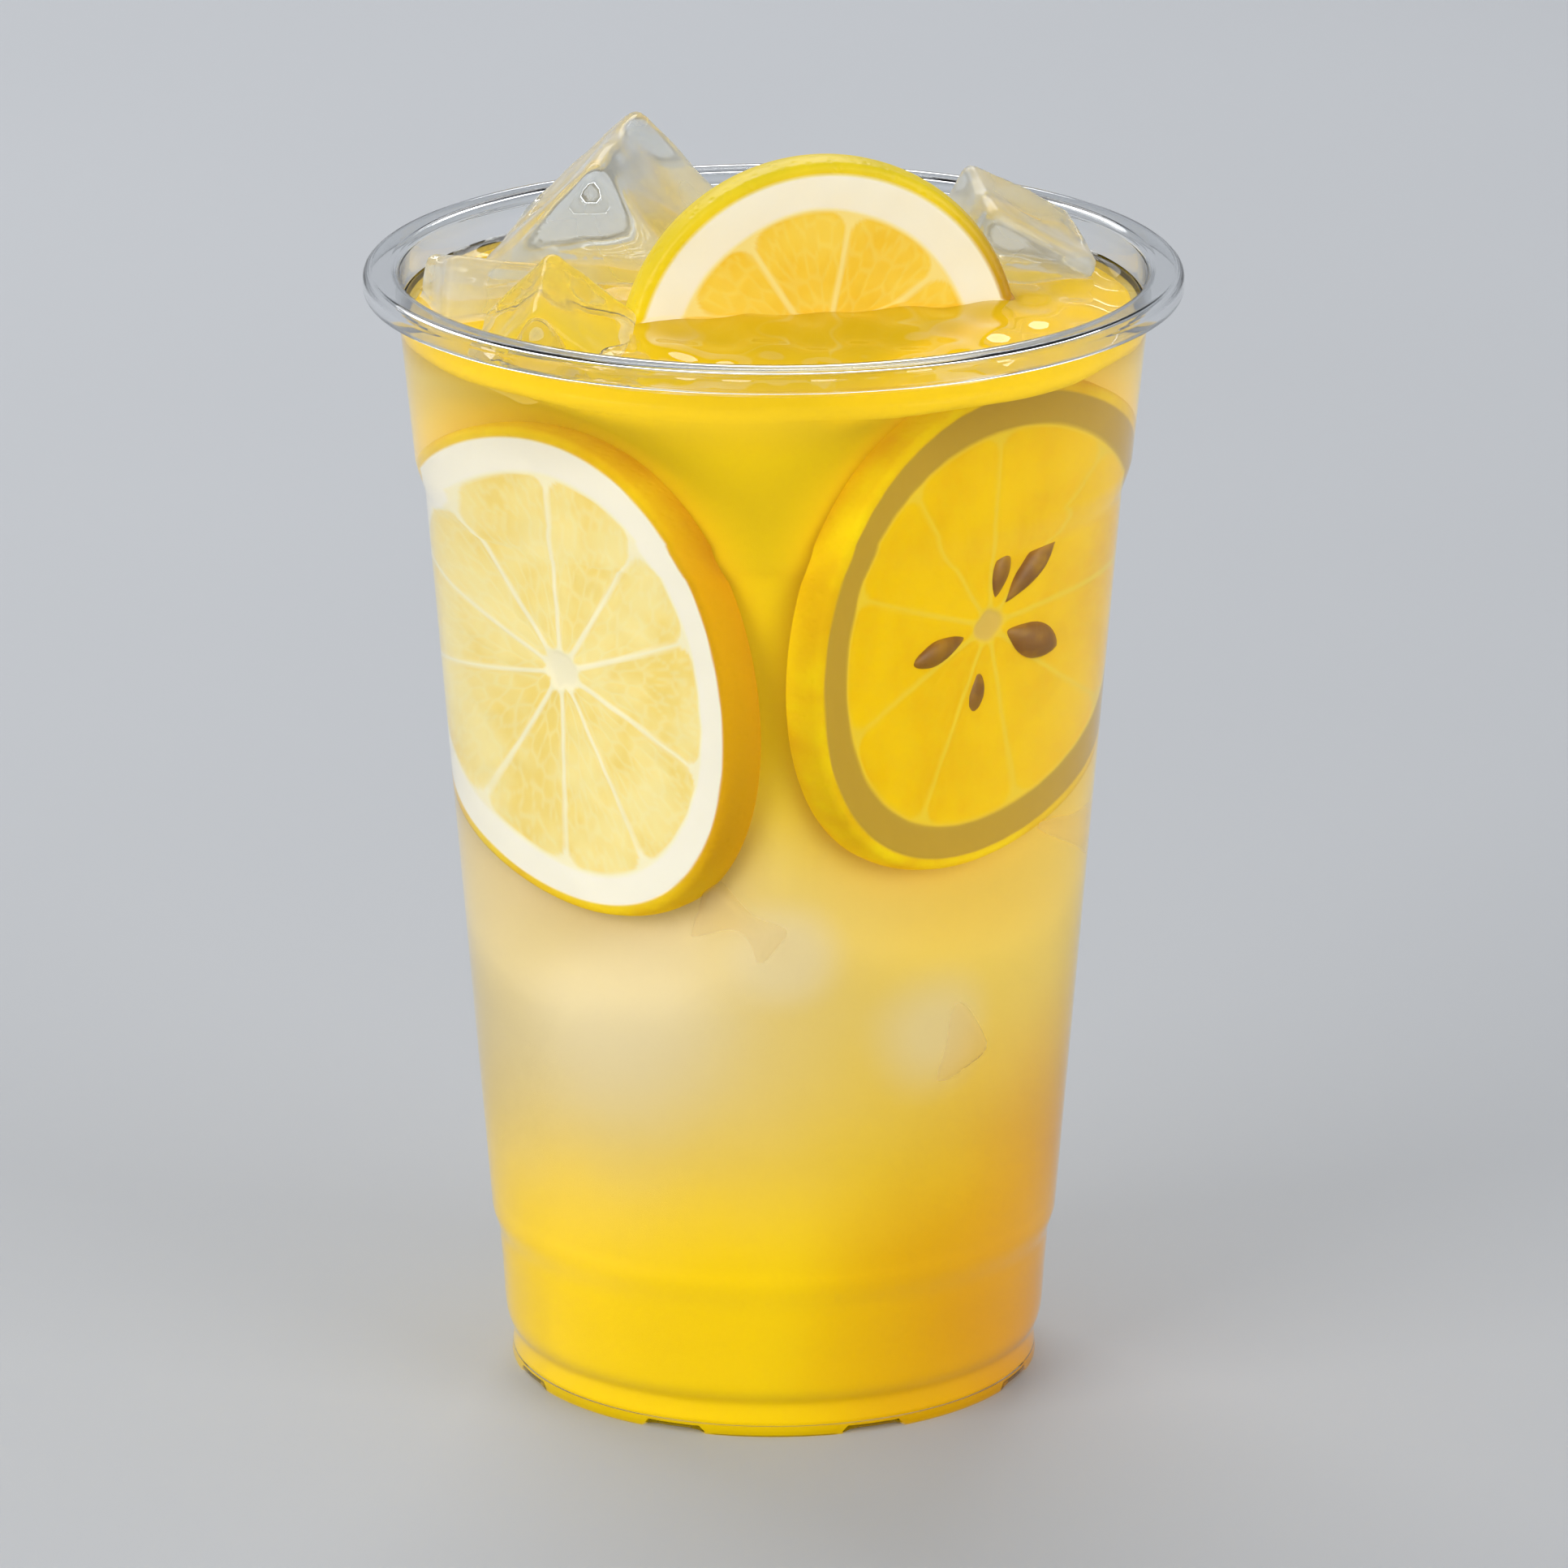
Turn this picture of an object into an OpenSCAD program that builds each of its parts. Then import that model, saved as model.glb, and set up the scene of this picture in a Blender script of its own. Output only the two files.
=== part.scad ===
// A clear plastic cold cup of lemonade with ice cubes and three lemon slices.
// The cup stands on z = 0 with its axis on Z. The front of the drink faces -Y.

/* [Cup] */
// Height of the cup, from foot to lip
cup_h = 138; // [115:1:170]
// Thickness of the cup's sheet
wall = 0.6; // [0.5:0.05:1]
// Outer diameter of the lip
lip_d = 98.4; // [82:0.2:120]
// Overhang of the rolled lip beyond the wall
lip_w = 3.8; // [3:0.1:5]
// Height of the rolled lip
lip_h = 2.8; // [2.4:0.1:4]
// Outer radius of the lip's curl
lip_curl = 1.3; // [1:0.1:1.5]

/* [Cup shoulder and body] */
// Height of the neck between the shoulder and the lip
neck_h = 19.5; // [14:0.5:26]
// How far the neck widens towards the lip, on the radius
neck_flare = 2.1; // [0:0.1:3]
// Height of the stacking shoulder
shoulder_h = 6; // [3:0.5:9]
// Width of the stacking shoulder, on the radius
shoulder_w = 1.4; // [0.5:0.1:3]
// Outer diameter of the body just above the lower step
body_low_d = 69.2; // [58:0.2:84]

/* [Cup foot] */
// Height of the lower step
step_h = 4.4; // [3:0.2:6]
// Width of the lower step, on the radius
step_w = 1; // [0.4:0.1:2]
// Height of the plain band below the step
band_h = 8.6; // [6:0.2:11]
// How far the band narrows downwards, on the radius
band_taper = 0.6; // [0:0.1:1.2]
// Height of the round heel
heel_h = 3; // [2:0.2:5]
// How far the heel draws in, on the radius
heel_w = 1.2; // [0.6:0.1:2]
// Height of the foot ring
foot_h = 4.4; // [3:0.2:6]
// Width of the foot ring at the bottom
foot_w = 2.4; // [2:0.1:3.5]
// How far the raised floor's underside stands above the ground
floor_lift = 3.4; // [2.5:0.1:5]
// Rise of the floor's domed middle
dome_h = 1.6; // [0.8:0.1:3]
// Diameter of the floor's domed middle
dome_d = 38; // [28:1:48]
// How far the foot ring flares outwards, on the radius
foot_flare = 0.4; // [0:0.1:1]
// Number of vents across the foot ring
vents = 8; // [4:1:12]
// Width of a vent
vent_w = 7; // [4:0.5:10]
// Height of a vent
vent_h = 0.8; // [0.5:0.1:1.2]

/* [Lemonade] */
// Depth of the lemonade's level below the lip's top
level_drop = 5; // [4:0.5:12]

/* [Side slices] */
// Diameter of the left slice
left_d = 61; // [48:0.5:64]
// Diameter of the right slice
right_d = 61; // [48:0.5:64]
// Thickness of the two side slices
side_t = 4.8; // [3:0.2:7]
// Height of the left slice's middle above the ground
left_z = 93; // [80:1:98]
// Height of the right slice's middle above the ground
right_z = 99; // [88:1:104]

/* [Top slice] */
// Diameter of the top slice
top_d = 48.5; // [38:0.5:52]
// Thickness of the top slice
top_t = 5.4; // [3:0.2:7]
// How far the top slice's edge stands above the lemonade
top_rise = 18; // [8:0.5:20]
// Place of the top slice's middle across the cup
top_x = 6; // [2:0.2:10]
// Turn of the top slice's face to the right
top_turn = 13; // [6:1:20]

/* [Ice] */
// Edge of the back ice cube
back_cube = 22; // [18:0.5:26]
// Edge of the right ice cube
right_cube = 16; // [14:0.5:22]
// Edge of the left ice cube
left_cube = 14; // [12:0.5:19]
// Edge of the front ice cube
front_cube = 14; // [10:0.5:16]

/* [Fits] */
// Clearance between a slice's edge and the cup's wall
slice_gap = 0.3; // [0.1:0.1:1]
// Clearance between a side slice and the cup's middle plane
front_gap = 1.2; // [0.5:0.1:4]
// Clearance between neighbouring pieces of ice and fruit
piece_gap = 0.5; // [0.3:0.1:2]

/* [Hidden] */
$fn = 96;

// heights of the cup's stations
foot_z = foot_h;
heel_z = foot_z + heel_h;
band_z = heel_z + band_h;
step_z = band_z + step_h;
neck_z = cup_h - lip_h - neck_h;
shoulder_z = neck_z - shoulder_h;
curl_z = cup_h - lip_curl;
level = cup_h - level_drop;

// outer radii at those stations
lip_r = lip_d / 2;
mouth_r = lip_r - lip_w;
neck_r = mouth_r - neck_flare;
shoulder_r = neck_r - shoulder_w;
step_r = body_low_d / 2;
band_r = step_r - step_w;
heel_r = band_r - band_taper;
waist_r = heel_r - heel_w;
foot_r = waist_r + foot_flare;

// the outer wall as height and radius, from the foot to the curl of the lip
stations = [[0, foot_r], [foot_z, waist_r], [heel_z, heel_r], [band_z, band_r], [step_z, step_r],
            [shoulder_z, shoulder_r], [neck_z, neck_r], [curl_z, mouth_r]];
function outer_r(z) = lookup(z, stations);
function inner_r(z) = outer_r(z) - wall;

// lean of the body's wall, which the side slices share
taper = atan((shoulder_r - step_r) / (shoulder_z - step_z));

// floor and foot ring, whose groove stays a wall above the vents
groove_z = vent_h + wall;
floor_top = floor_lift + wall;
dome_r = dome_d / 2;
dome_run = 6;
foot_in_r = foot_r - foot_w;
foot_round = 0.6;
corner = 0.9;

// softness of the fruit's and the ice's edges
rind_round = 0.9;
ice_edge = 0.09;
ice_corner = 1.5;

function reversed(points) = [for (i = [len(points) - 1:-1:0]) points[i]];

// points of an arc about a middle, from one angle to another
function arc(middle, r, from, to, steps = 6) =
    [for (i = [0:steps]) middle + r * [cos(from + (to - from) * i / steps), sin(from + (to - from) * i / steps)]];

// a soft S from one radius and height up to another
function rise(r0, z0, r1, z1, steps = 6) =
    [for (i = [0:steps]) [r0 + (r1 - r0) * (1 - cos(180 * i / steps)) / 2, z0 + (z1 - z0) * i / steps]];

// the heel bulges out over the foot as a quarter of an ellipse
function heel(inset) =
    [for (a = [0:15:90]) [waist_r - inset + heel_w * sin(a), heel_z - heel_h * cos(a)]];

// one face of the cup's wall between the foot and the neck, moved inwards by inset
function side(inset) = concat(
    [[waist_r - inset, foot_z - inset / 2]],
    heel(inset),
    rise(band_r - inset, band_z, step_r - inset, step_z),
    rise(shoulder_r - inset, shoulder_z, neck_r - inset, neck_z));

// the cup's inside, from the floor's middle up to a height in the neck
function inside(top_z) = concat(
    [[0, floor_top + dome_h], [dome_r - dome_run, floor_top + dome_h], [dome_r, floor_top]],
    [[foot_in_r - corner, floor_top], [foot_in_r + wall, floor_top - corner - wall]],
    [[foot_in_r + wall, groove_z], [foot_r - wall, groove_z]],
    side(wall),
    [[inner_r(top_z), top_z]]);

// the cup's outside, from the ground up to the lip's underside
function outside() = concat(
    [[0, floor_lift + dome_h], [dome_r - dome_run, floor_lift + dome_h], [dome_r, floor_lift]],
    [[foot_in_r - corner, floor_lift], [foot_in_r, floor_lift - corner]],
    arc([foot_in_r + foot_round, foot_round], foot_round, 180, 270, 4),
    arc([foot_r - foot_round, foot_round], foot_round, 270, 360, 4),
    side(0),
    [[mouth_r, curl_z]]);

// the lip: the sheet rolls outwards over the wall and down again
function lip() = concat(
    arc([mouth_r - wall + lip_curl, curl_z], lip_curl - wall, 180, 90),
    arc([lip_r - lip_curl, curl_z], lip_curl - wall, 90, 0),
    arc([lip_r - wall / 2, cup_h - lip_h + wall / 2], wall / 2, 180, 360, 4),
    arc([lip_r - lip_curl, curl_z], lip_curl, 0, 90),
    arc([mouth_r - wall + lip_curl, curl_z], lip_curl, 90, 180));

module cup() {
    color([0.85, 0.88, 0.9, 0.4])
    difference() {
        rotate_extrude() polygon(concat(outside(), lip(), reversed(inside(curl_z))));
        for (i = [0:vents - 1])
            rotate([0, 0, (i + 0.5) * 360 / vents])
                translate([foot_r - foot_w / 2, 0, 0])
                    cube([foot_w * 2, vent_w, vent_h * 2], center = true);
    }
}

// a round of lemon facing -Y, its face through the origin and its body behind it
module slice(d, t) {
    rotate([-90, 0, 0])
        rotate_extrude() polygon(concat(
            [[0, 0]],
            arc([d / 2 - rind_round, rind_round], rind_round, 270, 360, 4),
            arc([d / 2 - rind_round, t - rind_round], rind_round, 0, 90, 4),
            [[0, t]]));
}

// a side slice is a chord of the cup: it leans on the wall with both its ends
function chord_y(d, z) = sqrt(pow(inner_r(z), 2) - pow(d / 2, 2)) - slice_gap;

// the turn that brings the slice's rear edge to the front gap beside the cup's middle plane
function chord_turn(d, z) =
    acos(-front_gap / norm([d / 2, chord_y(d, z) - side_t])) - atan2(chord_y(d, z) - side_t, d / 2);

module side_slice(d, z, side) {
    rotate([0, 0, side * chord_turn(d, z)])
        translate([0, -chord_y(d, z), z]) rotate([taper, 0, 0]) slice(d, side_t);
}

module lemon_slice_left() {
    color([0.98, 0.9, 0.45]) side_slice(left_d, left_z, -1);
}

module lemon_slice_right() {
    color([0.9, 0.72, 0.1]) side_slice(right_d, right_z, 1);
}

// the top slice stands behind the right slice's upper part, clear of its rear face
top_z = level + top_rise - top_d / 2;
right_turn = chord_turn(right_d, right_z);
right_rear = chord_y(right_d, right_z) - side_t + (top_z - right_z) * tan(taper) - piece_gap;
top_y = (right_rear - top_d / 2 * sin(right_turn - top_turn) - top_x * sin(right_turn)) / cos(right_turn);

module lemon_slice_top() {
    color([0.98, 0.85, 0.1])
    translate([top_x, -top_y, top_z]) rotate([0, 0, top_turn]) slice(top_d, top_t);
}

// an ice cube with soft edges and corners
module ice(s) {
    across = s * sqrt(2) * (1 - ice_edge);
    color([0.85, 0.9, 0.95, 0.6])
    intersection() {
        cube(s, center = true);
        rotate([45, 0, 0]) cube([s * 2, across, across], center = true);
        rotate([0, 45, 0]) cube([across, s * 2, across], center = true);
        rotate([0, 0, 45]) cube([across, across, s * 2], center = true);
        sphere(d = s * ice_corner);
    }
}

// a cube's distance from the axis, where a share of its edge keeps it off the wall
function afloat_r(s, share) = inner_r(level) - s * share - piece_gap;
back_r = afloat_r(back_cube, 0.745);
right_r = afloat_r(right_cube, 0.69);
left_r = afloat_r(left_cube, 0.68);
front_r = afloat_r(front_cube, 0.95);

// the angle between two cubes' directions that keeps the cubes apart
function apart(r_a, r_b, edges) =
    acos((r_a * r_a + r_b * r_b - pow(edges * 0.665 + piece_gap, 2)) / (2 * r_a * r_b));

// directions from the axis, counted from the front: round the left side from cube to cube,
// and on the right just behind the top slice
left_way = -92;
back_way = left_way - apart(left_r, back_r, left_cube + back_cube);
front_way = left_way + apart(left_r, front_r, left_cube + front_cube);
top_rear = top_t - top_x * sin(top_turn) - top_y * cos(top_turn);
right_way = top_turn + acos(-(top_rear + right_cube * 0.575 + piece_gap) / right_r);

module afloat(way, r, above, tilt, s) {
    translate([r * sin(way), -r * cos(way), level + above]) rotate(tilt) ice(s);
}

module ice_cube_back() afloat(back_way, back_r, 1, [10, 45, -8], back_cube);
module ice_cube_right() afloat(right_way, right_r, 0, [12, 28, 18], right_cube);
module ice_cube_left() afloat(left_way, left_r, -2, [-14, 10, 12], left_cube);
module ice_cube_front() afloat(front_way, front_r, -1, [28, 38, 10], front_cube);

// the drink fills the cup and lies close round the fruit and the ice
module lemonade() {
    color([0.93, 0.8, 0.25, 0.8])
    difference() {
        rotate_extrude() polygon(concat(inside(level), [[0, level]]));
        lemon_slice_left();
        lemon_slice_right();
        lemon_slice_top();
        ice_cube_back();
        ice_cube_right();
        ice_cube_left();
        ice_cube_front();
    }
}

cup();
lemonade();
lemon_slice_left();
lemon_slice_right();
lemon_slice_top();
ice_cube_back();
ice_cube_right();
ice_cube_left();
ice_cube_front();
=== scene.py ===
# Lemonade in a clear plastic cold cup, with ice cubes and three lemon slices.
# Metres throughout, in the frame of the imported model: the cup stands on z = 0 and its front faces -Y.
import math

import bmesh
import bpy
import numpy as np
from mathutils import Matrix, Vector


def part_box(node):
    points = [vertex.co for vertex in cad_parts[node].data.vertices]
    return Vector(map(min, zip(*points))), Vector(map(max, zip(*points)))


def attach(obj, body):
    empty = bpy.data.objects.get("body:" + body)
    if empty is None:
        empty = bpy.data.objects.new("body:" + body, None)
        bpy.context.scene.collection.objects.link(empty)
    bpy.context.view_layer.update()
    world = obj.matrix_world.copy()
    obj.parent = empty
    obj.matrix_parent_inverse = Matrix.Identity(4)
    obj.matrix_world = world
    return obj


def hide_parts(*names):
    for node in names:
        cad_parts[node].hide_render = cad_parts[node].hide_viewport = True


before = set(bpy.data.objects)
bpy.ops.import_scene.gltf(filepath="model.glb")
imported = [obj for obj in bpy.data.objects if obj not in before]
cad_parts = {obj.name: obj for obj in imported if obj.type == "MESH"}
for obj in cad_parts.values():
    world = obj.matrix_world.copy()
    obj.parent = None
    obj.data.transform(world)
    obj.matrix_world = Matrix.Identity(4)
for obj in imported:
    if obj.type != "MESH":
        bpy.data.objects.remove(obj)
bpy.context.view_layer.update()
mm = 0.001
black = (0, 0, 0, 1)


class Wire:  # one output of a material's nodes, ready to be used in sums
    def __init__(self, tree, socket=None):
        self.tree = tree
        self.socket = socket

    def plug(self, socket, value):
        if isinstance(value, Wire):
            self.tree.links.new(value.socket, socket)
        else:
            socket.default_value = value

    def node(self, kind, settings=None, inputs=None, output=0):
        made = self.tree.nodes.new(kind)
        for name, value in (settings or {}).items():
            setattr(made, name, value)
        for key, value in (inputs or {}).items():
            self.plug(made.inputs[key], value)
        return Wire(self.tree, made.outputs[output])

    def math(self, operation, *values):
        return self.node("ShaderNodeMath", {"operation": operation}, dict(enumerate(values)))

    def __add__(self, other):
        return self.math("ADD", self, other)

    def __radd__(self, other):
        return self.math("ADD", other, self)

    def __sub__(self, other):
        return self.math("SUBTRACT", self, other)

    def __rsub__(self, other):
        return self.math("SUBTRACT", other, self)

    def __mul__(self, other):
        return self.math("MULTIPLY", self, other)

    def __rmul__(self, other):
        return self.math("MULTIPLY", other, self)

    def __truediv__(self, other):
        return self.math("DIVIDE", self, other)

    def mix(self, low, high):  # this value blends two colours
        return self.node("ShaderNodeMix", {"data_type": "RGBA"}, {0: self, 6: low, 7: high}, 2)

    def step(self, low, high):  # this value eased from 0 at low to 1 at high
        settings = {"interpolation_type": "SMOOTHSTEP"}
        return self.node("ShaderNodeMapRange", settings, {"Value": self, "From Min": low, "From Max": high})


def colour(red, green, blue):  # a screen colour of 0 to 255 as linear light
    def linear(value):
        share = value / 255
        return share / 12.92 if share <= 0.04045 else ((share + 0.055) / 1.055) ** 2.4
    return (linear(red), linear(green), linear(blue), 1)


def newMaterial(name):
    material = bpy.data.materials.new(name)
    material.use_nodes = True
    material.cycles.emission_sampling = "NONE"      # a faint glow isn't a lamp
    tree = material.node_tree
    shader = next(n for n in tree.nodes if n.type == "BSDF_PRINCIPLED")
    shader.subsurface_method = "BURLEY"
    return material, Wire(tree), shader


def settle(wire, shader, inputs):
    for name, value in inputs.items():
        wire.plug(shader.inputs[name], value)


def blended(wire, share, shader, looks):  # the material turns into a second shader where share is 1
    second = wire.node("ShaderNodeBsdfPrincipled", {}, looks)
    blend = wire.node("ShaderNodeMixShader", {}, {0: share, 1: Wire(wire.tree, shader.outputs[0]), 2: second})
    output = next(n for n in wire.tree.nodes if n.type == "OUTPUT_MATERIAL")
    wire.plug(output.inputs["Surface"], blend)


def bumped(wire, height, distance, strength=1.0):
    return wire.node("ShaderNodeBump", {}, {"Height": height, "Distance": distance, "Strength": strength})


def speckle(wire, place, scale, detail=3.0, rough=0.55):
    return wire.node("ShaderNodeTexNoise", {}, {"Vector": place, "Scale": scale, "Detail": detail,
                                                "Roughness": rough})


def placeOf(wire):
    return wire.node("ShaderNodeTexCoord", {}, {}, "Object")


def alongAxis(wire, place, axis):
    return wire.node("ShaderNodeSeparateXYZ", {}, {0: place}, axis)


def field(wire, name):  # a number stored on the mesh
    return wire.node("ShaderNodeAttribute", {"attribute_name": name}, {}, "Fac")


def softStep(low, high, value):
    share = np.clip((value - low) / (high - low), 0, 1)
    return share * share * (3 - 2 * share)


def ripple(points, size, seed, layers=6):  # smooth unevenness of about -1 to 1 over points
    random = np.random.default_rng(seed)
    total = np.zeros(len(points))
    for layer in range(layers):
        direction = random.normal(size=3)
        direction /= np.linalg.norm(direction)
        wave = size * random.uniform(0.6, 1.5)
        total += np.sin(points @ direction * 2 * math.pi / wave + random.uniform(0, 6.3))
    return total / math.sqrt(layers) / 1.4


def addMesh(name, points, faces, material, fields=None, matrix=None):
    mesh = bpy.data.meshes.new(name)
    mesh.from_pydata([tuple(p) for p in points], [], faces)
    mesh.polygons.foreach_set("use_smooth", [True] * len(mesh.polygons))
    for label, values in (fields or {}).items():
        numbers = mesh.attributes.new(label, "FLOAT", "POINT").data
        numbers.foreach_set("value", np.asarray(values, np.float32))
    mesh.materials.append(material)
    mesh.update()
    piece = bpy.data.objects.new(name, mesh)
    bpy.context.scene.collection.objects.link(piece)
    if matrix is not None:
        piece.matrix_world = matrix
    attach(piece, "root")
    return piece


def spin(profile, turns):  # profile of (radius, height) turned about Z; both its ends may lie on the axis
    angles = np.arange(turns) * 2 * math.pi / turns
    points = []
    rows = []
    for radius, height in profile:
        if radius < 1e-7:
            rows.append([len(points)] * turns)
            points.append((0.0, 0.0, height))
        else:
            rows.append(list(range(len(points), len(points) + turns)))
            points.extend((radius * math.sin(a), -radius * math.cos(a), height) for a in angles)
    faces = []
    for low, high in zip(rows, rows[1:]):
        for i in range(turns):
            j = (i + 1) % turns
            corners = [low[i], low[j], high[j], high[i]]
            faces.append(tuple(dict.fromkeys(corners)))
    return np.array(points), faces


def sectionOf(node):  # outline of a turned node in the half plane behind the axis, as (radius, height)
    cut = bmesh.new()
    cut.from_mesh(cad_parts[node].data)
    bmesh.ops.remove_doubles(cut, verts=cut.verts, dist=1e-6)
    everything = cut.verts[:] + cut.edges[:] + cut.faces[:]
    bmesh.ops.bisect_plane(cut, geom=everything, dist=1e-7, plane_co=(0, 0, 0), plane_no=(1, 0, 0),
                           clear_inner=True, clear_outer=True)
    bmesh.ops.remove_doubles(cut, verts=cut.verts, dist=2e-6)
    bmesh.ops.bisect_plane(cut, geom=cut.verts[:] + cut.edges[:], dist=1e-7, plane_co=(0, 0, 0),
                           plane_no=(0, 1, 0), clear_inner=True)
    behind = set(cut.verts)
    start = min((v for v in behind if v.co.y < 1e-6), key=lambda v: v.co.z)
    path = [start]
    seen = {start}
    while True:
        following = [e.other_vert(path[-1]) for e in path[-1].link_edges]
        following = [v for v in following if v in behind and v not in seen]
        if not following:
            break
        path.append(following[0])
        seen.add(following[0])
    outline = np.array([(v.co.y, v.co.z) for v in path])
    cut.free()
    outline[:, 0] = np.maximum(outline[:, 0], 0)
    return outline


def resample(outline, spacing, below=1.0):  # extra points on an outline's long stretches
    result = [outline[0]]
    for a, b in zip(outline, outline[1:]):
        pieces = max(1, math.ceil(np.linalg.norm(b - a) / spacing)) if a[1] < below else 1
        result.extend(a + (b - a) * k / pieces for k in range(1, pieces + 1))
    return np.array(result)


def softened(outline):  # an outline whose corners just above the foot are rounded off
    outline = resample(outline, 0.7 * mm, 10 * mm)
    corner = (outline[:, 1] > 2 * mm) & (outline[:, 1] < 9 * mm) & (outline[:, 0] > 30.2 * mm)
    for _ in range(16):
        moved = 0.5 * outline[1:-1] + 0.25 * outline[:-2] + 0.25 * outline[2:]
        outline[1:-1][corner[1:-1]] = moved[corner[1:-1]]
    return outline


cupSection = softened(sectionOf("cup"))
cupRim = int(np.argmax(cupSection[:, 1]))
cupInside = cupSection[cupRim:][::-1]      # from the floor's middle up to the rim
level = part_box("lemonade")[1].z


def wallRadius(height):  # radius of the cup's inner wall
    side = cupInside[cupInside[:, 0] > 0.6 * cupInside[:, 0].max()]
    order = np.argsort(side[:, 1])
    return np.interp(height, side[order, 1], side[order, 0])


print("frame read: level", round(level, 4), "cup outline of", len(cupSection), "points")


cup = {
    "turns": 192,
    "ventHeight": 0.8 * mm,
    "ventWidth": 7 * mm,
    "vents": 8,
    "ior": 1.5,
    "wallTint": (0.98, 0.985, 0.99, 1),
    "lipTint": (0.93, 0.945, 0.955, 1),
    "glint": (0.14, 0.14, 0.14, 1),
}


def clearPlastic():
    material, wire, shader = newMaterial("clearPlastic")
    place = placeOf(wire)
    grain = speckle(wire, place, 60, 2)
    height = alongAxis(wire, place, "Z") / cupSection[:, 1].max()
    settle(wire, shader, {
        "Base Color": height.step(0.979, 0.988).mix(cup["wallTint"], cup["lipTint"]),
        "Specular Tint": cup["glint"],
        "Transmission Weight": 1.0,
        "IOR": cup["ior"],
        "Roughness": 0.012 + 0.02 * grain,
    })
    return material


def ventShare(points):  # 1 over the middle of a vent and 0 between the vents
    turn = np.arctan2(points[:, 0], -points[:, 1])
    radius = np.hypot(points[:, 0], points[:, 1])
    pitch = 2 * math.pi / cup["vents"]
    across = radius * np.abs((turn % pitch) - pitch / 2)
    return softStep(0.5 * cup["ventWidth"] + 0.6 * mm, 0.5 * cup["ventWidth"] - 0.6 * mm, across)


def makeCup():
    points, faces = spin(resample(cupSection, 2.5 * mm), cup["turns"])
    vent = ventShare(points)
    foot = points[:, 2] < cup["ventHeight"]
    points[foot, 2] = np.maximum(points[foot, 2], cup["ventHeight"] * vent[foot])
    piece = addMesh("cupShell", points, faces, clearPlastic())
    piece.visible_shadow = False
    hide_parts("cup")
    return piece


makeCup()
print("cup made")


drink = {
    "turns": 160,
    "intoWall": 0.25 * mm,
    "meniscus": 0.7 * mm,
    "meniscusReach": 1.6 * mm,
    "rippleHeight": 0.42 * mm,
    "rippleSize": 10 * mm,
    "ior": 1.333,
    "glint": (0.2, 0.2, 0.2, 1),
    "tint": (0.99, 0.965, 0.86, 1),
}


def clearLiquid():
    material, wire, shader = newMaterial("clearLiquid")
    settle(wire, shader, {
        "Base Color": drink["tint"],
        "Transmission Weight": 1.0,
        "IOR": drink["ior"],
        "Specular Tint": drink["glint"],
        "Roughness": 0.0,
    })
    return material


def outwards(outline, distance):  # an outline moved along its own normals
    along = np.gradient(outline, axis=0)
    along /= np.linalg.norm(along, axis=1)[:, None] + 1e-12
    normal = np.stack([along[:, 1], -along[:, 0]], 1)
    moved = outline + normal * distance
    moved[outline[:, 0] < 1e-7, 0] = 0
    return moved


def drinkOutline():
    below = cupInside[cupInside[:, 1] < level]
    top = np.array([[wallRadius(level), level]])
    return np.concatenate([below, top])


def makeDrink():
    wallSide = outwards(resample(drinkOutline(), 3 * mm), drink["intoWall"])
    edge = wallSide[-1, 0]
    wallSide[-1, 1] = level
    across = edge * np.linspace(1, 0, 90)[1:] ** 1.15
    surface = np.stack([across, np.full(len(across), level)], 1)
    points, faces = spin(np.concatenate([wallSide, surface]), drink["turns"])
    top = points[:, 2] > level - 1e-6
    radius = np.hypot(points[top, 0], points[top, 1])
    climb = drink["meniscus"] * np.exp(-(edge - radius) / drink["meniscusReach"])
    calm = 1 - np.exp(-(edge - radius) / (4 * mm))
    points[top, 2] += climb + calm * drink["rippleHeight"] * ripple(points[top], drink["rippleSize"], 4)
    piece = addMesh("lemonadeClear", points, faces, clearLiquid())
    piece.visible_shadow = False
    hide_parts("lemonade")
    return piece


clearDrink = makeDrink()
print("lemonade made")


def largestFaces(node):  # area and normal of a node's faces, the largest first
    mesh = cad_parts[node].data
    return sorted(((p.area, p.normal.copy()) for p in mesh.polygons), key=lambda f: -f[0])


def spanOf(node, axes):  # middle and size of a node along three axes
    points = np.array([v.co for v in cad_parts[node].data.vertices])
    along = points @ np.array(axes).T
    low = along.min(0)
    high = along.max(0)
    middle = Vector(np.array(axes).T @ ((low + high) / 2))
    return middle, high - low


def standOf(axes, middle):  # matrix of a piece with these axes
    turn = Matrix([list(a) for a in axes]).transposed().to_4x4()
    return Matrix.Translation(middle) @ turn


def discOf(node):  # a slice's matrix, its face looking along local -Y, with its radius and thickness
    facing = largestFaces(node)[0][1]
    if facing.y > 0:
        facing = -facing
    upward = (Vector((0, 0, 1)) - facing * facing.z).normalized()
    across = (-facing).cross(upward)
    axes = (across, -facing, upward)
    middle, size = spanOf(node, axes)
    return standOf(axes, middle + facing * size[1] / 2), size[0] / 2, size[1]


def blockOf(node):  # a cube's matrix and its size along its own axes
    faces = largestFaces(node)
    first = faces[0][1]
    second = next(n for area, n in faces if abs(n.dot(first)) < 0.1)
    second = (second - first * second.dot(first)).normalized()
    axes = (first, second, first.cross(second))
    middle, size = spanOf(node, axes)
    return standOf(axes, middle), size


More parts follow.
